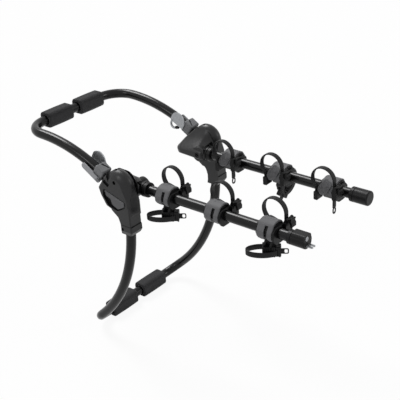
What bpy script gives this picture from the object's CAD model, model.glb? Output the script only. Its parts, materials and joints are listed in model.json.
import json
import math

import bmesh
import bpy
from mathutils import Matrix, Vector


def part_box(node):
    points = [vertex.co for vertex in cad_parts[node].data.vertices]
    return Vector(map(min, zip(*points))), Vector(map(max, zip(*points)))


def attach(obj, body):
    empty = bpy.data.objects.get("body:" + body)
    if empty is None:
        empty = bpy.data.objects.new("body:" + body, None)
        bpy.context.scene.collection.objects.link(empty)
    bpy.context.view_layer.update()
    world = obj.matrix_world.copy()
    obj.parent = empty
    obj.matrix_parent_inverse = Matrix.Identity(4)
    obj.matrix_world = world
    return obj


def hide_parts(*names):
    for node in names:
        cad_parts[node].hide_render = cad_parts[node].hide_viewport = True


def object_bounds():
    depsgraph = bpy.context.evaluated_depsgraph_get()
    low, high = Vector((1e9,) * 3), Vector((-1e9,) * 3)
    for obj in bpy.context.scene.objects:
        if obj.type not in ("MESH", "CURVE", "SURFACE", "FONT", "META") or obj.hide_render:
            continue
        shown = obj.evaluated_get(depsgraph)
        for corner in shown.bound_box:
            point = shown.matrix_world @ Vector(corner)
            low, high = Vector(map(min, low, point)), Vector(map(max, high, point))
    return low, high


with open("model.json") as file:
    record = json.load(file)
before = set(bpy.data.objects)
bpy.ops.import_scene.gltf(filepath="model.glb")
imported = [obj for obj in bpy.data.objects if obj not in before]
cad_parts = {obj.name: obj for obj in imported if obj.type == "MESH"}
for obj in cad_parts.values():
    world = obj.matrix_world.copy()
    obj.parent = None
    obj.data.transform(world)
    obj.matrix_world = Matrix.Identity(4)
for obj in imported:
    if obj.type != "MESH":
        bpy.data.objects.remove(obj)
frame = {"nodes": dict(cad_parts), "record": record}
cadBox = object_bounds()
nodes = frame["nodes"]
mm = 0.001
print("frame loaded:", len(nodes), "nodes")

# Places shared with the CAD model, in metres, in its frame.
hubAt = Vector((0.0, 0.203924, 0.494593))  # midway between the arm pivots
armX = 137.5 * mm
legX = 187.5 * mm
cradleRows = {1: 98 * mm, 2: 267 * mm, 3: 432 * mm}
rightRowShift = 7 * mm
sides = {"left": 1, "right": -1}
cagedRows = (("left", 1), ("left", 3), ("right", 2))


# Materials

def toLinear(hexColour):
    channels = [int(hexColour[i : i + 2], 16) / 255 for i in (1, 3, 5)]
    linear = [c / 12.92 if c <= 0.04045 else ((c + 0.055) / 1.055) ** 2.4 for c in channels]
    return (*linear, 1.0)


def addNode(tree, kind, links=None, settings=None, **inputs):
    node = tree.nodes.new(kind)
    for key, value in (settings or {}).items():
        setattr(node, key, value)
    for key, value in inputs.items():
        node.inputs[key.replace("_", " ")].default_value = value
    for key, source in (links or {}).items():
        tree.links.new(source, node.inputs[key])
    return node


def newMaterial(name):
    material = bpy.data.materials.new(name)
    material.use_nodes = True
    material.node_tree.nodes.clear()
    return material, material.node_tree


def finishMaterial(
    name,
    colour,
    roughness,
    metallic=0.0,
    grain=0.5,
    grainDepth=0.1,
    mottle=0.08,
    roughSpread=0.08,
    wear=0.0,
    wornColour="#8a8a8b",
    coat=0.0,
    specular=0.5,
    sheen=0.0,
    pores=0.0,
    stretch=(1, 1, 1),
):
    # One moulded, coated or metal surface. The grain, its depth and the pores are in millimetres,
    # and the two broad patterns are counted per metre.
    mottlesPerMetre = 24.0
    scuffsPerMetre = 90.0
    scuffStart, scuffFull = 0.58, 0.72  # noise levels between which a scuff fades in
    material, tree = newMaterial(name)
    place = addNode(tree, "ShaderNodeTexCoord").outputs["Object"]
    drawn = addNode(tree, "ShaderNodeMapping", {"Vector": place}, Scale=stretch).outputs["Vector"]
    fine = addNode(
        tree, "ShaderNodeTexNoise", {"Vector": drawn},
        Scale=1 / (grain * mm), Detail=3.0, Roughness=0.6,
    ).outputs["Fac"]
    broad = addNode(
        tree, "ShaderNodeTexNoise", {"Vector": place}, Scale=mottlesPerMetre, Detail=5.0
    )
    base = toLinear(colour)
    shade = addNode(
        tree, "ShaderNodeMix", {"Factor": broad.outputs["Fac"]}, {"data_type": "RGBA"}
    )
    shade.inputs[6].default_value = (*[c * (1 - 2 * mottle) for c in base[:3]], 1.0)
    shade.inputs[7].default_value = (*[min(1.0, c * (1 + 2 * mottle)) for c in base[:3]], 1.0)
    # scuffs: thin patches where handling has dulled and lightened the surface
    scuffs = addNode(
        tree, "ShaderNodeTexNoise", {"Vector": place},
        Scale=scuffsPerMetre, Detail=8.0, Roughness=0.8,
    )
    worn = addNode(
        tree, "ShaderNodeMapRange", {"Value": scuffs.outputs["Fac"]},
        From_Min=scuffStart, From_Max=scuffFull, To_Min=0.0, To_Max=wear,
    ).outputs["Result"]
    surface = addNode(
        tree, "ShaderNodeMix", {"Factor": worn, 6: shade.outputs[2]}, {"data_type": "RGBA"}
    )
    surface.inputs[7].default_value = toLinear(wornColour)
    rough = addNode(
        tree, "ShaderNodeMapRange", {"Value": broad.outputs["Fac"]}, From_Min=0.3, From_Max=0.7,
        To_Min=max(0.02, roughness - roughSpread), To_Max=min(1.0, roughness + roughSpread),
    ).outputs["Result"]
    dulled = addNode(tree, "ShaderNodeMath", {0: rough, 1: worn}, {"operation": "ADD"})
    height = fine
    if pores:
        cells = addNode(tree, "ShaderNodeTexVoronoi", {"Vector": place}, Scale=1 / (pores * mm))
        height = addNode(
            tree, "ShaderNodeMath", {0: fine, 1: cells.outputs["Distance"]}, {"operation": "ADD"}
        ).outputs[0]
    bump = addNode(
        tree, "ShaderNodeBump", {"Height": height}, Strength=0.5, Distance=grainDepth * mm
    )
    shader = addNode(
        tree, "ShaderNodeBsdfPrincipled",
        {
            "Base Color": surface.outputs[2],
            "Roughness": dulled.outputs[0],
            "Normal": bump.outputs["Normal"],
        },
        Metallic=metallic, Coat_Weight=coat, Coat_Roughness=0.1, Sheen_Weight=sheen,
    )
    shader.inputs["Specular IOR Level"].default_value = specular
    addNode(tree, "ShaderNodeOutputMaterial", {"Surface": shader.outputs["BSDF"]})
    return material


finishes = {
    # black powder coat on steel tube: a faint orange peel under a soft gloss
    "gloss_black_tube": finishMaterial(
        "blackPowderCoat", "#0a0a0b", 0.25, grain=1.6, grainDepth=0.04, roughSpread=0.04,
        wear=0.03, coat=0.1, specular=0.18,
    ),
    # glass-filled nylon, moulded: an even satin with a fine spark-eroded grain
    "satin_black_plastic": finishMaterial(
        "mouldedNylon", "#1e1e1f", 0.36, grain=0.8, grainDepth=0.1, wear=0.05, specular=0.32
    ),
    "cradle_plastic": finishMaterial(
        "blackMouldedNylon", "#101011", 0.4, grain=0.8, grainDepth=0.12, wear=0.05, specular=0.17
    ),
    # thermoplastic rubber: dull mid grey, slightly uneven
    "grey_rubber": finishMaterial(
        "greyThermoplasticRubber", "#68686a", 0.6, grain=0.9, grainDepth=0.12, mottle=0.1,
        wear=0.12, wornColour="#8a8a8c", specular=0.2,
    ),
    # smooth moulded rubber with a faint bloom
    "strap_rubber": finishMaterial(
        "blackStrapRubber", "#1a1a1b", 0.45, grain=0.9, grainDepth=0.08, wear=0.12,
        wornColour="#5a5a5b", specular=0.18,
    ),
    # closed cell foam: dark and matt, with pores drawn at 1.3 mm so that they show
    "foam": finishMaterial(
        "closedCellFoam", "#3a3a3b", 0.92, grain=0.9, grainDepth=0.5, mottle=0.12, wear=0.15,
        wornColour="#4c4c4d", specular=0.1, sheen=0.1, pores=1.3,
    ),
    "lever_grey": finishMaterial(
        "greyMouldedNylon", "#5a5a5c", 0.4, grain=0.8, grainDepth=0.1, wear=0.08, specular=0.25
    ),
    "clamp_grey": finishMaterial(
        "lightGreyNylon", "#7b7c7e", 0.5, grain=0.8, grainDepth=0.12, wear=0.1,
        wornColour="#a0a1a3", specular=0.25,
    ),
    # anodised aluminium strip: satin, drawn along its length
    "band_aluminium": finishMaterial(
        "anodisedAluminium", "#8f9093", 0.4, metallic=0.8, grain=0.7, grainDepth=0.04,
        wear=0.06, stretch=(1.0, 0.15, 0.15),
    ),
    # zinc plated steel: bright, with soft reflections
    "bright_steel": finishMaterial(
        "zincPlatedSteel", "#a2a4a7", 0.42, metallic=0.7, grain=1.0, grainDepth=0.03, wear=0.08
    ),
    "dark_steel": finishMaterial(
        "blackOxideSteel", "#1e1e1f", 0.38, metallic=0.6, grain=0.8, grainDepth=0.04, wear=0.1
    ),
}
slotOf = {part["node"]: part["material_slot"] for part in frame["record"]["subparts"]}
for name, node in nodes.items():
    for holder in node.material_slots:
        holder.material = finishes[slotOf[name]]
    if not node.material_slots:
        node.data.materials.append(finishes[slotOf[name]])
print("materials:", len(finishes))

# Camera: fitted to the photograph's perspective.
cameraSpec = {
    "place": (1.61447, 1.72749, 1.51820),
    "forward": (-0.667858, -0.589947, -0.453795),
    "up": (-0.384459, -0.248623, 0.889032),
    "lens": 77.005,
    "sensor": 36.0,
}
cameraData = bpy.data.cameras.new("camera")
cameraData.lens = cameraSpec["lens"]
cameraData.sensor_width = cameraSpec["sensor"]
camera = bpy.data.objects.new("camera", cameraData)
bpy.context.scene.collection.objects.link(camera)
forward = Vector(cameraSpec["forward"]).normalized()
up = Vector(cameraSpec["up"]).normalized()
camera.matrix_world = Matrix.Translation(cameraSpec["place"]) @ Matrix(
    (forward.cross(up), up, -forward)
).transposed().to_4x4()
bpy.context.scene.camera = camera


# Making pieces

def newPiece(name, mesh, body, slotName, replaced=()):
    piece = bpy.data.objects.new(name, mesh)
    bpy.context.scene.collection.objects.link(piece)
    if not mesh.materials:
        mesh.materials.append(finishes[slotName])
    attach(piece, body)
    if replaced:
        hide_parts(*replaced)
    return piece


def shaded(mesh, smoothAngle):
    for face in mesh.polygons:
        face.use_smooth = True
    mesh.set_sharp_from_angle(angle=math.radians(smoothAngle))
    return mesh


def meshFrom(name, build, smoothAngle=35):
    shape = bmesh.new()
    build(shape)
    bmesh.ops.remove_doubles(shape, verts=shape.verts, dist=0.001 * mm)
    bmesh.ops.recalc_face_normals(shape, faces=shape.faces)
    mesh = bpy.data.meshes.new(name)
    shape.to_mesh(mesh)
    shape.free()
    return shaded(mesh, smoothAngle)


def loft(shape, rings, closedAlong=False):
    # Skin over rings of equal count; open ends get a cap.
    rows = [[shape.verts.new(point) for point in ring] for ring in rings]
    count = len(rows[0])
    last = len(rows) if closedAlong else len(rows) - 1
    for i in range(last):
        here, there = rows[i], rows[(i + 1) % len(rows)]
        for j in range(count):
            k = (j + 1) % count
            shape.faces.new((here[j], here[k], there[k], there[j]))
    if not closedAlong:
        shape.faces.new(rows[0])
        shape.faces.new(list(reversed(rows[-1])))


def joined(name, meshes, smoothAngle=35):
    def build(shape):
        for mesh in meshes:
            shape.from_mesh(mesh)

    return meshFrom(name, build, smoothAngle)


def placed(mesh, place, side):
    # A copy of a mesh drawn with x outboard, moved to its place on one side.
    copy = mesh.copy()
    if side == "right":
        copy.transform(Matrix.Scale(-1, 4, Vector((1, 0, 0))))
        copy.flip_normals()
    copy.transform(Matrix.Translation(place))
    return copy


def withModifiers(mesh, steps):
    # The mesh after its modifiers, as a plain mesh.
    holder = bpy.data.objects.new("holder", mesh)
    bpy.context.scene.collection.objects.link(holder)
    for kind, settings in steps:
        modifier = holder.modifiers.new(kind.title(), kind)
        for key, value in settings.items():
            setattr(modifier, key, value)
    graph = bpy.context.evaluated_depsgraph_get()
    result = bpy.data.meshes.new_from_object(holder.evaluated_get(graph), depsgraph=graph)
    bpy.data.objects.remove(holder)
    return result


def roundedLine(corners, spacing, closed=False):
    # Evenly spaced points along straight runs through corners (u, v, radius), in millimetres.
    path = []
    count = len(corners)
    arcSteps = 8
    for i, (u, v, radius) in enumerate(corners):
        here = Vector((u, v))
        if radius == 0:
            path.append(here)
            continue
        back = (Vector(corners[i - 1][:2]) - here).normalized()
        ahead = (Vector(corners[(i + 1) % count][:2]) - here).normalized()
        half = math.acos(max(-1.0, min(1.0, back.dot(ahead)))) / 2
        reach = radius / math.tan(half)
        centre = here + (back + ahead).normalized() * (radius / math.sin(half))
        first = here + back * reach - centre
        final = here + ahead * reach - centre
        for k in range(arcSteps + 1):
            path.append(centre + first.lerp(final, k / arcSteps).normalized() * radius)
    if closed:
        path.append(path[0])
    runs = [(b - a).length for a, b in zip(path, path[1:])]
    total = sum(runs)
    steps = max(8, round(total / spacing))
    points = []
    i = 0
    passed = 0.0
    for k in range(steps + (0 if closed else 1)):
        wanted = min(total * k / steps, total * 0.999999)
        while passed + runs[i] < wanted:
            passed += runs[i]
            i += 1
        points.append(path[i].lerp(path[i + 1], (wanted - passed) / runs[i]))
    return [point * mm for point in points]


# Geometry Nodes: a flat band along a line of points, and bars that cross such a line.

def lineTree(name, sizes, withBand):
    tree = bpy.data.node_groups.new(name, "GeometryNodeTree")
    tree.interface.new_socket("Line", in_out="INPUT", socket_type="NodeSocketGeometry")
    for size in sizes:
        tree.interface.new_socket(size, in_out="INPUT", socket_type="NodeSocketFloat")
    tree.interface.new_socket("Across", in_out="INPUT", socket_type="NodeSocketVector")
    tree.interface.new_socket("Finish", in_out="INPUT", socket_type="NodeSocketMaterial")
    tree.interface.new_socket("Mesh", in_out="OUTPUT", socket_type="NodeSocketGeometry")
    given = tree.nodes.new("NodeGroupInput").outputs
    curve = addNode(tree, "GeometryNodeMeshToCurve", {"Mesh": given["Line"]})
    curve = addNode(
        tree, "GeometryNodeSetCurveNormal",
        {"Curve": curve.outputs["Curve"], "Normal": given["Across"]}, {"mode": "FREE"},
    ).outputs["Curve"]
    places = addNode(
        tree, "GeometryNodeCurveToPoints", {"Curve": curve, "Length": given["Bar pitch"]},
        {"mode": "LENGTH"},
    ).outputs
    reach = addNode(
        tree, "ShaderNodeMath", {0: given["Bar length"]}, {"operation": "MULTIPLY"}
    )
    reach.inputs[1].default_value = 0.5
    near = addNode(tree, "ShaderNodeCombineXYZ", {"X": reach.outputs[0]})
    far = addNode(
        tree, "ShaderNodeVectorMath", {0: near.outputs[0]}, {"operation": "SCALE"}, Scale=-1.0
    )
    axis = addNode(
        tree, "GeometryNodeCurvePrimitiveLine", {"Start": far.outputs[0], "End": near.outputs[0]}
    )
    circle = addNode(
        tree, "GeometryNodeCurvePrimitiveCircle", {"Radius": given["Bar radius"]}, Resolution=12
    )
    bar = addNode(
        tree, "GeometryNodeCurveToMesh",
        {"Curve": axis.outputs["Curve"], "Profile Curve": circle.outputs["Curve"]},
        Fill_Caps=True,
    )
    bars = addNode(
        tree, "GeometryNodeInstanceOnPoints",
        {
            "Points": places["Points"],
            "Instance": bar.outputs["Mesh"],
            "Rotation": places["Rotation"],
        },
    )
    whole = addNode(tree, "GeometryNodeJoinGeometry", {"Geometry": bars.outputs["Instances"]})
    if withBand:
        outline = addNode(
            tree, "GeometryNodeCurvePrimitiveQuadrilateral",
            {"Width": given["Width"], "Height": given["Thickness"]},
        )
        rounded = addNode(
            tree, "GeometryNodeFilletCurve",
            {"Curve": outline.outputs["Curve"], "Radius": given["Edge"]},
            {"mode": "POLY"}, Count=3,
        )
        band = addNode(
            tree, "GeometryNodeCurveToMesh",
            {"Curve": curve, "Profile Curve": rounded.outputs["Curve"]}, Fill_Caps=True,
        )
        tree.links.new(band.outputs["Mesh"], whole.inputs["Geometry"])
    real = addNode(
        tree, "GeometryNodeRealizeInstances", {"Geometry": whole.outputs["Geometry"]}
    )
    coloured = addNode(
        tree, "GeometryNodeSetMaterial",
        {"Geometry": real.outputs["Geometry"], "Material": given["Finish"]},
    )
    shown = tree.nodes.new("NodeGroupOutput")
    tree.links.new(coloured.outputs["Geometry"], shown.inputs["Mesh"])
    return tree


bandTree = lineTree(
    "bandAlongLine",
    ("Width", "Thickness", "Edge", "Bar pitch", "Bar radius", "Bar length"),
    withBand=True,
)
barTree = lineTree("barsAlongLine", ("Bar pitch", "Bar radius", "Bar length"), withBand=False)


def grown(tree, name, line, values, closed=False, smoothAngle=40):
    # Runs a tree on a line of points and gives back its plain mesh.
    mesh = bpy.data.meshes.new(name)
    edges = [(i, i + 1) for i in range(len(line) - 1)]
    if closed:
        edges.append((len(line) - 1, 0))
    mesh.from_pydata(line, edges, [])
    holder = bpy.data.objects.new(name, mesh)
    bpy.context.scene.collection.objects.link(holder)
    modifier = holder.modifiers.new("tree", "NODES")
    modifier.node_group = tree
    for socket in tree.interface.items_tree:
        if socket.name in values:
            modifier[socket.identifier] = values[socket.name]
    graph = bpy.context.evaluated_depsgraph_get()
    result = bpy.data.meshes.new_from_object(holder.evaluated_get(graph), depsgraph=graph)
    bpy.data.objects.remove(holder)
    shape = bmesh.new()
    shape.from_mesh(result)
    bmesh.ops.recalc_face_normals(shape, faces=shape.faces)
    shape.to_mesh(result)
    shape.free()
    result.name = name
    return shaded(result, smoothAngle)


def plateWithHole(name, spec, along, across, middle):
    # Rounded plate about a hole: every section round the hole is a closed outline.
    facing = along.cross(across)
    edge = spec["edge"]
    half = spec["thickness"] / 2

    def radius(angle, ahead, behind, side, power):
        u = abs(math.cos(angle)) / (ahead if math.cos(angle) > 0 else behind)
        v = abs(math.sin(angle)) / side
        return 1 / (u ** power + v ** power) ** (1 / power)

    def build(shape):
        rings = []
        steps = 48
        for i in range(steps):
            angle = 2 * math.pi * i / steps
            outer = radius(angle, *spec["outer"], spec["power"])
            inner = radius(angle, *spec["hole"], spec["power"])
            spoke = along * math.cos(angle) + across * math.sin(angle)
            section = (
                (inner, edge - half), (inner + edge, -half), (outer - edge, -half),
                (outer, edge - half), (outer, half - edge), (outer - edge, half),
                (inner + edge, half), (inner, half - edge),
            )
            rings.append([middle + spoke * r + facing * h for r, h in section])
        loft(shape, rings, closedAlong=True)

    return meshFrom(name, build, 50)


# Foam pads: pushed over the crossbars, soft rounded squares with a slit along the back.
foamPads = {
    "side": 47 * mm,
    "corner": 13 * mm,
    "bore": 14.5 * mm,
    "crown": 0.5 * mm,
    "endRound": 3.2 * mm,
    "slitWidth": 1.6 * mm,
    "slitDepth": 5 * mm,
    "lip": 1 * mm,
    "upper": {"node": "upper_foam_pads", "body": "upper_frame", "inner": 17 * mm},
    "lower": {"node": "lower_foam_pads", "body": "lower_frame", "inner": 16 * mm},
}


def roundedSquare(spec, perCorner=10, perSide=7):
    # Points round a square with rounded corners; its lowest side has the slit.
    half = spec["side"] / 2
    flat = half - spec["corner"]
    points = []
    for quarter in range(4):
        turn = Matrix.Rotation(quarter * math.pi / 2, 2)
        for i in range(perSide):
            if quarter == 0 and i == perSide // 2:
                slit = spec["slitWidth"] / 2
                points.extend([Vector((-slit, -half)), Vector((0, spec["slitDepth"] - half))])
                points.append(Vector((slit, -half)))
            else:
                points.append(turn @ Vector((-flat + 2 * flat * i / perSide, -half)))
        for i in range(perCorner):
            angle = math.pi / 2 * (i / perCorner - 1)
            spoke = Vector((math.cos(angle), math.sin(angle))) * spec["corner"]
            points.append(turn @ (Vector((flat, -flat)) + spoke))
    return points


def foamPadMesh(name, xFrom, xTo, centre, spec):
    outline = roundedSquare(spec)
    half = spec["side"] / 2
    endSteps = 7
    bodySteps = 30

    def ring(x, grow=0.0, radial=None):
        flatPoints = outline
        if radial is not None:
            flatPoints = [point.normalized() * radial for point in outline]
        size = 1 + grow / half
        return [
            Vector((x, centre.y + point.x * size, centre.z + point.y * size))
            for point in flatPoints
        ]

    def build(shape):
        bend = spec["endRound"]
        rings = []
        for i in range(endSteps):
            angle = math.pi / 2 * i / endSteps
            drop = bend * (1 - math.sin(angle)) + spec["crown"]
            rings.append(ring(xFrom + bend * (1 - math.cos(angle)), -drop))
        for i in range(bodySteps + 1):
            share = i / bodySteps
            crown = spec["crown"] * (math.sin(math.pi * share) - 1)
            rings.append(ring(xFrom + bend + (xTo - xFrom - 2 * bend) * share, crown))
        for i in reversed(range(endSteps)):
            angle = math.pi / 2 * i / endSteps
            drop = bend * (1 - math.sin(angle)) + spec["crown"]
            rings.append(ring(xTo - bend * (1 - math.cos(angle)), -drop))
        lip = spec["lip"]
        rings.append(ring(xTo, radial=spec["bore"] + lip))
        rings.append(ring(xTo - lip, radial=spec["bore"]))
        rings.append(ring(xFrom + lip, radial=spec["bore"]))
        rings.append(ring(xFrom, radial=spec["bore"] + lip))
        loft(shape, rings, closedAlong=True)

    return meshFrom(name, build, 60)


for level in ("upper", "lower"):
    spec = foamPads[level]
    low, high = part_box(spec["node"])
    centre = Vector((0, (low.y + high.y) / 2, (low.z + high.z) / 2))
    for side, sign in sides.items():
        xFrom, xTo = sorted((sign * spec["inner"], sign * high.x))
        mesh = foamPadMesh(level + "FoamPad", xFrom, xTo, centre, foamPads)
        name = level + "_foam_pad_" + side
        piece = newPiece(name, mesh, spec["body"], "foam", (spec["node"],))
print("foam pads done")

# Cradle pads: a rubber saddle with a split outboard lobe and a ribbed flap on the inboard flank.
cradlePad = {
    "arch": (
        (-30.4, -8, 0), (-30, 7, 12), (-18, 27, 14), (0, 34.5, 28),
        (18, 27, 14), (30, 7, 12), (30.4, -6, 8), (22, -18, 0),
    ),
    "step": 1.8,
    "lobes": (-12 * mm, 9 * mm, 18.5 * mm, 31 * mm),
    "columns": (16, 7, 10),
    "slotTop": 21 * mm,
    "rise": 0.14 * mm,
    "lobeDrop": 7 * mm,
    "lobeRound": 0.92,
    "lobeFade": 1.5,
    "lobeReach": 18 * mm,
    "thickness": 4.1 * mm,
    "edge": 1.1 * mm,
}
padFlap = {
    "fold": Vector((-18, 0, 30)) * mm,
    "lean": math.radians(36),
    "thickness": 3.8 * mm,
    "edge": 0.8 * mm,
    "ribDepth": 0.45 * mm,
    "ribs": 7,
    "step": 2.2,
    "edgeShare": 0.95,
    "ribFoot": 0.6,
    "ribTop": 0.2,
    "outline": (
        (-17.4, -31.5, 5), (-16.5, -20, 10), (-8, -5, 10), (-1, 4.5, 4), (9.5, -1, 6),
        (19.5, -11, 5), (18, -19, 6), (13, -33, 8), (3.3, -41, 6), (-5, -41.5, 6),
    ),
}


def padSaddle(spec):
    arch = roundedLine(spec["arch"], spec["step"])
    last = len(arch) - 1
    pitch = (arch[1] - arch[0]).length
    edges = spec["lobes"]
    slotPart, lastPart = 1, 2
    rows = []
    for lobe, count in enumerate(spec["columns"]):
        for j in range(count):
            rows.append((lobe, edges[lobe] + (edges[lobe + 1] - edges[lobe]) * j / count))
    rows.append((lastPart, edges[-1]))

    def onArch(distance):
        i = max(0, min(last - 1, int(distance / pitch)))
        share = distance / pitch - i
        run = (arch[i + 1] - arch[i]).normalized()
        return arch[i].lerp(arch[i + 1], share), Vector((-run.y, run.x))

    def build(shape):
        grid = []
        for j, (_, y) in enumerate(rows):
            low, high = (edges[0], edges[1]) if y <= edges[1] else (edges[2], edges[3])
            share = max(-1.0, min(1.0, (2 * y - low - high) / (high - low)))
            drop = spec["lobeDrop"] * (1 - math.sqrt(max(0.0, 1 - spec["lobeRound"] * share ** 2)))
            column = []
            for i in range(last + 1):
                fromEnd = (last - i) * pitch
                pull = max(0.0, 1 - fromEnd / spec["lobeReach"]) ** spec["lobeFade"]
                point, outward = onArch(i * pitch - drop * pull)
                point = point + outward * (spec["rise"] if j % 2 else -spec["rise"])
                column.append(shape.verts.new((point.x, y, point.y)))
            grid.append(column)
        for j in range(len(rows) - 1):
            inSlot = rows[j][0] == slotPart
            for i in range(last):
                outboard = i > last / 2 and grid[j][i + 1].co.z < spec["slotTop"]
                if not (inSlot and outboard):
                    shape.faces.new(
                        (grid[j][i], grid[j][i + 1], grid[j + 1][i + 1], grid[j + 1][i])
                    )
        loose = [vert for vert in shape.verts if not vert.link_faces]
        bmesh.ops.delete(shape, geom=loose, context="VERTS")

    shape = bmesh.new()
    build(shape)
    mesh = bpy.data.meshes.new("padSaddle")
    shape.to_mesh(mesh)
    shape.free()
    return withModifiers(
        mesh,
        (
            ("SOLIDIFY", {"thickness": spec["thickness"], "offset": -1.0}),
            (
                "BEVEL",
                {
                    "width": spec["edge"],
                    "segments": 3,
                    "limit_method": "ANGLE",
                    "angle_limit": math.radians(50),
                },
            ),
        ),
    )


def padFlapMesh(spec):
    outline = roundedLine(spec["outline"], spec["step"], closed=True)
    middle = sum(outline, Vector((0, 0))) / len(outline)
    upSlope = Vector((math.sin(spec["lean"]), 0, math.cos(spec["lean"])))
    outward = Vector((-math.cos(spec["lean"]), 0, math.sin(spec["lean"])))

    def ring(size, height):
        points = []
        for flatPoint in outline:
            point = middle + (flatPoint - middle) * size
            points.append(
                spec["fold"] + Vector((0, point.x, 0)) + upSlope * point.y + outward * height
            )
        return points

    def build(shape):
        edgeShare = spec["edgeShare"]
        rings = [
            ring(edgeShare, -spec["thickness"]),
            ring(1, spec["edge"] - spec["thickness"]),
            ring(1, -spec["edge"]),
            ring(edgeShare, 0),
        ]
        half = 0.5 * edgeShare / (spec["ribs"] + 1)
        for rib in range(spec["ribs"]):
            size = edgeShare - 2 * half * (rib + 1)
            foot, top = half * spec["ribFoot"], half * spec["ribTop"]
            rings.append(ring(size + foot, 0))
            rings.append(ring(size + top, -spec["ribDepth"]))
            rings.append(ring(size - top, -spec["ribDepth"]))
            rings.append(ring(size - foot, 0))
        loft(shape, rings)

    return meshFrom("padFlap", build, 30)


saddleMesh = padSaddle(cradlePad)
flapMesh = padFlapMesh(padFlap)
cradlePadMesh = joined("cradlePad", (saddleMesh, flapMesh), 32)


def rowPlace(side, row):
    shift = rightRowShift if side == "right" else 0
    return hubAt + Vector((sides[side] * armX, cradleRows[row] + shift, 0))


# Cradle straps: ladder straps, up behind the pad, round, and down through the buckle.
cradleStrap = {
    "inboard": 33 * mm,
    "centre": (0.5 * mm, 38 * mm),
    "radius": 33.5 * mm,
    "start": ((-19, -10), (-19.3, 0), (-20, 7), (-21.6, 11.6)),
    "backAngle": 223,
    "ringTo": -34 * mm,
    "tuckFrom": -14 * mm,
    "tuckRadius": 24 * mm,
    "tuckTurn": 118,
    "sizes": {
        "Width": 15 * mm,
        "Thickness": 3 * mm,
        "Edge": 0.9 * mm,
        "Bar pitch": 5.6 * mm,
        "Bar radius": 1.95 * mm,
        "Bar length": 11 * mm,
        "Across": (1, 0, 0),
        "Finish": finishes["strap_rubber"],
    },
    "pullRing": {
        "outer": (10 * mm, 10 * mm, 7.5 * mm),
        "hole": (5.5 * mm, 5.5 * mm, 3.9 * mm),
        "power": 2.4,
        "thickness": 3 * mm,
        "edge": 0.8 * mm,
        "z": -44 * mm,
    },
}


def cradleStrapMesh(side, spec):
    x = -spec["inboard"]
    centreY, centreZ = spec["centre"]
    points = [(y * mm, z * mm) for y, z in spec["start"]]
    steps = 64
    for i in range(steps + 1):
        angle = math.radians(spec["backAngle"] * (1 - i / steps))
        points.append(
            (centreY + spec["radius"] * math.cos(angle), centreZ + spec["radius"] * math.sin(angle))
        )
    frontY = points[-1][0]
    tail = []
    lowest = spec["tuckFrom"] if side == "left" else spec["ringTo"]
    downSteps = 16
    for i in range(1, downSteps + 1):
        points.append((frontY, centreZ + (lowest - centreZ) * i / downSteps))
    if side == "left":
        turnSteps = 24
        for i in range(1, turnSteps + 1):
            angle = math.radians(spec["tuckTurn"]) * i / turnSteps
            points.append(
                (
                    frontY - spec["tuckRadius"] * (1 - math.cos(angle)),
                    lowest - spec["tuckRadius"] * math.sin(angle),
                )
            )
    else:
        ring = spec["pullRing"]
        middle = Vector((x, frontY, ring["z"]))
        down, across = Vector((0, 0, 1)), Vector((1, 0, 0))
        tail.append(plateWithHole("pullRing", ring, down, across, middle))
    line = [(x, y, z) for y, z in points]
    band = grown(bandTree, "strapBand", line, spec["sizes"])
    return joined("cradleStrap", [band] + tail, 40)


strapMeshes = {side: cradleStrapMesh(side, cradleStrap) for side in sides}
for side in sides:
    for row in cradleRows:
        tag = "_" + side + "_" + str(row)
        place = rowPlace(side, row)
        newPiece(
            "pad" + tag, placed(cradlePadMesh, place, side), "cradle" + tag, "grey_rubber",
            ("cradle_pad" + tag,),
        )
        newPiece(
            "strap" + tag, placed(strapMeshes[side], place, side), "cradle" + tag,
            "strap_rubber", ("cradle_strap" + tag,),
        )
print("cradle pads and straps done")

# Anti-sway loops: a rubber loop and a pull tail with a finger hole, held in each cage.
cageLoop = {
    "at": 6 * mm,
    "pinZ": -35 * mm,
    "turn": {"left": 33.8, "right": 90.0},
    "roll": {"left": 0.0, "right": 52.0},
    "centreY": -19 * mm,
    "z": -60.75 * mm,
    "halfAcross": 22 * mm,
    "halfAlong": 40.7 * mm,
    "sizes": {
        "Width": 15 * mm,
        "Thickness": 2.6 * mm,
        "Edge": 0.8 * mm,
        "Bar pitch": 6 * mm,
        "Bar radius": 1.6 * mm,
        "Bar length": 11 * mm,
        "Across": (0, 0, 1),
        "Finish": finishes["strap_rubber"],
    },
    "tail": {
        "outer": (7 * mm, 18.5 * mm, 7.7 * mm),
        "hole": (4 * mm, 4 * mm, 5.2 * mm),
        "power": 4.0,
        "thickness": 2.6 * mm,
        "edge": 0.6 * mm,
        "y": 40 * mm,
    },
}


def cagePose(side, spec):
    # The cage's turn about the vertical, then its swing on the pin.
    turned = Matrix.Translation((0, spec["at"], 0)) @ Matrix.Rotation(
        math.radians(spec["turn"][side]), 4, "Z"
    )
    pin = Matrix.Translation((0, 0, spec["pinZ"]))
    swing = Matrix.Rotation(-math.radians(spec["roll"][side]), 4, "Y")
    return pin @ swing @ pin.inverted() @ turned


def cageLoopMesh(side, spec):
    line = []
    steps = 64
    for i in range(steps):
        angle = 2 * math.pi * i / steps
        along = spec["centreY"] + spec["halfAlong"] * math.sin(angle)
        line.append((spec["halfAcross"] * math.cos(angle), along, spec["z"]))
    loop = grown(bandTree, "loopBand", line, spec["sizes"], closed=True)
    middle = Vector((0, spec["tail"]["y"], spec["z"]))
    tail = plateWithHole("loopTail", spec["tail"], Vector((0, 1, 0)), Vector((0, 0, 1)), middle)
    mesh = joined("cageLoop", (loop, tail), 40)
    mesh.transform(cagePose(side, spec))
    return mesh


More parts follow.
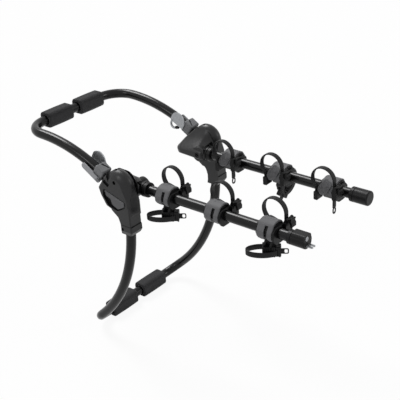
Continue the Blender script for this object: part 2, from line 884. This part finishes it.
# Ribs stand round the cage's block and give the fingers a hold.
cageRibs = {
    "x": 13.6 * mm,
    "from": -15.5 * mm,
    "to": 11 * mm,
    "z": -57 * mm,
    "sizes": {"Bar pitch": 5.2 * mm, "Bar radius": 1.25 * mm, "Bar length": 25 * mm},
}


def cageRibMesh(side, spec):
    rows = []
    for x in (spec["x"], -spec["x"]):
        line = [(x, spec["from"], spec["z"]), (x, spec["to"], spec["z"])]
        values = {**spec["sizes"], "Across": (0, 0, 1), "Finish": finishes["cradle_plastic"]}
        rows.append(grown(barTree, "ribRow", line, values))
    mesh = joined("cageRibs", rows, 40)
    mesh.transform(cagePose(side, cageLoop))
    return mesh


loopMeshes = {side: cageLoopMesh(side, cageLoop) for side in sides}
ribMeshes = {side: cageRibMesh(side, cageRibs) for side in sides}
for side, row in cagedRows:
    tag = "_" + side + "_" + str(row)
    newPiece(
        "anti_sway_loop" + tag, placed(loopMeshes[side], rowPlace(side, row), side), "cage" + tag,
        "strap_rubber", ("cage_strap" + tag,),
    )
    newPiece(
        "cage_ribs" + tag, placed(ribMeshes[side], rowPlace(side, row), side), "cage" + tag,
        "cradle_plastic",
    )
print("anti-sway loops done")

# Grip bars: four on each thumb lever and five in the dish of each release lever.
thumbGrip = {
    "inboard": 33 * mm,
    "from": (56.1 * mm, 16.4 * mm),
    "to": (55.8 * mm, 9.2 * mm),
    "sizes": {"Bar pitch": 2.3 * mm, "Bar radius": 0.8 * mm, "Bar length": 15 * mm},
}
leverGrip = {
    "x": 210.1 * mm,
    "middle": (-14 * mm, -28 * mm),
    "half": 7 * mm,
    "sizes": {"Bar pitch": 3.4 * mm, "Bar radius": 0.85 * mm, "Bar length": 13 * mm},
}


def gripMesh(name, line, sizes, across, slotName):
    values = {**sizes, "Across": across, "Finish": finishes[slotName]}
    return grown(barTree, name, line, values)


thumbLine = [
    (-thumbGrip["inboard"], y, z) for y, z in (thumbGrip["from"], thumbGrip["to"])
]
thumbMesh = gripMesh("thumbGrip", thumbLine, thumbGrip["sizes"], (1, 0, 0), "cradle_plastic")
gripY, gripZ = leverGrip["middle"]
leverLine = [
    (leverGrip["x"], gripY, gripZ - leverGrip["half"]),
    (leverGrip["x"], gripY, gripZ + leverGrip["half"]),
]
leverMesh = gripMesh("leverGrip", leverLine, leverGrip["sizes"], (0, 1, 0), "lever_grey")
for side in sides:
    newPiece(
        "release_grip_" + side, placed(leverMesh, hubAt, side), "release_lever_" + side,
        "lever_grey",
    )
    for row in cradleRows:
        tag = "_" + side + "_" + str(row)
        newPiece(
            "thumb_grip" + tag, placed(thumbMesh, rowPlace(side, row), side),
            "thumb_lever" + tag, "cradle_plastic",
        )

# Sleeves: soft black caps dipped over the tips of the trunk hooks, in millimetres from the hub.
legSlope = math.radians(31.8)  # of the upper legs where they leave the hubs
legElbow = (-50, 15)  # y and z on the leg's axis
elbowToStart = 35.3
hookSleeve = {
    "heading": legSlope,
    "zero": (
        legElbow[0] + elbowToStart * math.cos(legSlope),
        legElbow[1] - elbowToStart * math.sin(legSlope),
    ),
    "tipAlong": 113.0,
    "tipAbove": -17.0,
    "inboard": 21 * mm,
    "radius": 5.0,
    "from": -3.0,
    "to": 10.0,
    "round": 2.6,
    "around": 28,
    "rootAngles": (0.2, 0.6, 1.0, 1.57),
    "tipAngles": (1.57, 1.2, 0.8, 0.4, 0.1),
}


def sleeveMesh(spec):
    along = Vector((0, -math.cos(spec["heading"]), math.sin(spec["heading"])))
    above = Vector((0, math.sin(spec["heading"]), math.cos(spec["heading"])))
    zeroY, zeroZ = spec["zero"]
    tip = Vector((0, zeroY, zeroZ)) + along * spec["tipAlong"] + above * spec["tipAbove"]
    way = (above - along).normalized()
    sideways = Vector((1, 0, 0))
    other = way.cross(sideways)
    bend = spec["round"]
    around = spec["around"]
    profile = [
        (spec["from"] + bend * (1 - math.cos(a)), math.sin(a)) for a in spec["rootAngles"]
    ]
    profile += [(spec["to"] - bend * (1 - math.cos(a)), math.sin(a)) for a in spec["tipAngles"]]

    def build(shape):
        rings = []
        for distance, fullness in profile:
            radius = spec["radius"] - bend * (1 - fullness)
            middle = tip + way * distance
            ring = []
            for i in range(around):
                angle = 2 * math.pi * i / around
                spoke = sideways * math.cos(angle) + other * math.sin(angle)
                ring.append((middle + spoke * radius) * mm)
            rings.append(ring)
        loft(shape, rings)

    return meshFrom("hookSleeve", build, 50)


sleeve = sleeveMesh(hookSleeve)
for side, sign in sides.items():
    place = hubAt + Vector((sign * (legX - hookSleeve["inboard"]), 0, 0))
    newPiece("hook_sleeve_" + side, placed(sleeve, place, side), "upper_frame", "strap_rubber")
print("grips and sleeves done")

# Floor: white paper, which still keeps a faint shadow.
floorSpec = {"size": 14.0, "paper": "#f6f6f6", "glow": 0.92}
floorZ = cadBox[0].z - 1 * mm
half = floorSpec["size"] / 2
floorMesh = bpy.data.meshes.new("floor")
floorMesh.from_pydata(
    [(-half, -half, floorZ), (half, -half, floorZ), (half, half, floorZ), (-half, half, floorZ)],
    [],
    [(0, 1, 2, 3)],
)
floor = bpy.data.objects.new("floor", floorMesh)
bpy.context.scene.collection.objects.link(floor)


def seenRays(tree):
    # 1 for rays that show the background itself or its reflection.
    rays = addNode(tree, "ShaderNodeLightPath")
    direct = addNode(
        tree, "ShaderNodeMath",
        {0: rays.outputs["Is Camera Ray"], 1: rays.outputs["Is Glossy Ray"]},
        {"operation": "MAXIMUM"},
    )
    return addNode(
        tree, "ShaderNodeMath",
        {0: direct.outputs[0], 1: rays.outputs["Is Transmission Ray"]},
        {"operation": "MAXIMUM"},
    ).outputs[0]


paper, tree = newMaterial("whitePaper")
shown = addNode(tree, "ShaderNodeMath", {0: seenRays(tree)}, {"operation": "MULTIPLY"})
shown.inputs[1].default_value = floorSpec["glow"]
matt = addNode(tree, "ShaderNodeBsdfDiffuse", Color=toLinear(floorSpec["paper"]))
glow = addNode(tree, "ShaderNodeEmission", Color=(1, 1, 1, 1), Strength=1.0)
mixed = addNode(
    tree, "ShaderNodeMixShader",
    {0: shown.outputs[0], 1: matt.outputs["BSDF"], 2: glow.outputs["Emission"]},
)
addNode(tree, "ShaderNodeOutputMaterial", {"Surface": mixed.outputs["Shader"]})
floorMesh.materials.append(paper)

# Lights: a plain white surround and broad lamps. The top one stands behind the rack, so that the
# tubes along y carry its streak.
studio = {"surround": 0.24, "seen": 1.0}
world = bpy.data.worlds.new("studio")
bpy.context.scene.world = world
world.use_nodes = True
tree = world.node_tree
tree.nodes.clear()
level = addNode(
    tree, "ShaderNodeMapRange", {"Value": seenRays(tree)},
    To_Min=studio["surround"], To_Max=studio["seen"],
)
sky = addNode(
    tree, "ShaderNodeBackground", {"Strength": level.outputs["Result"]}, Color=(1, 1, 1, 1)
)
addNode(tree, "ShaderNodeOutputWorld", {"Surface": sky.outputs["Background"]})
lamps = {
    "topLamp": {"power": 2.3, "spread": 24, "from": (-0.15, -0.6, 0.85)},
    "cameraLamp": {"power": 0.4, "spread": 16, "from": (1.0, -0.3, 0.7)},
    "farLamp": {"power": 0.5, "spread": 18, "from": (-0.5, 1.0, 0.55)},
}
for name, lamp in lamps.items():
    data = bpy.data.lights.new(name, "SUN")
    data.energy = lamp["power"]
    data.angle = math.radians(lamp["spread"])
    light = bpy.data.objects.new(name, data)
    light.rotation_euler = Vector(lamp["from"]).to_track_quat("Z", "Y").to_euler()
    bpy.context.scene.collection.objects.link(light)
bpy.context.scene.view_settings.view_transform = "Standard"
print("lights set")
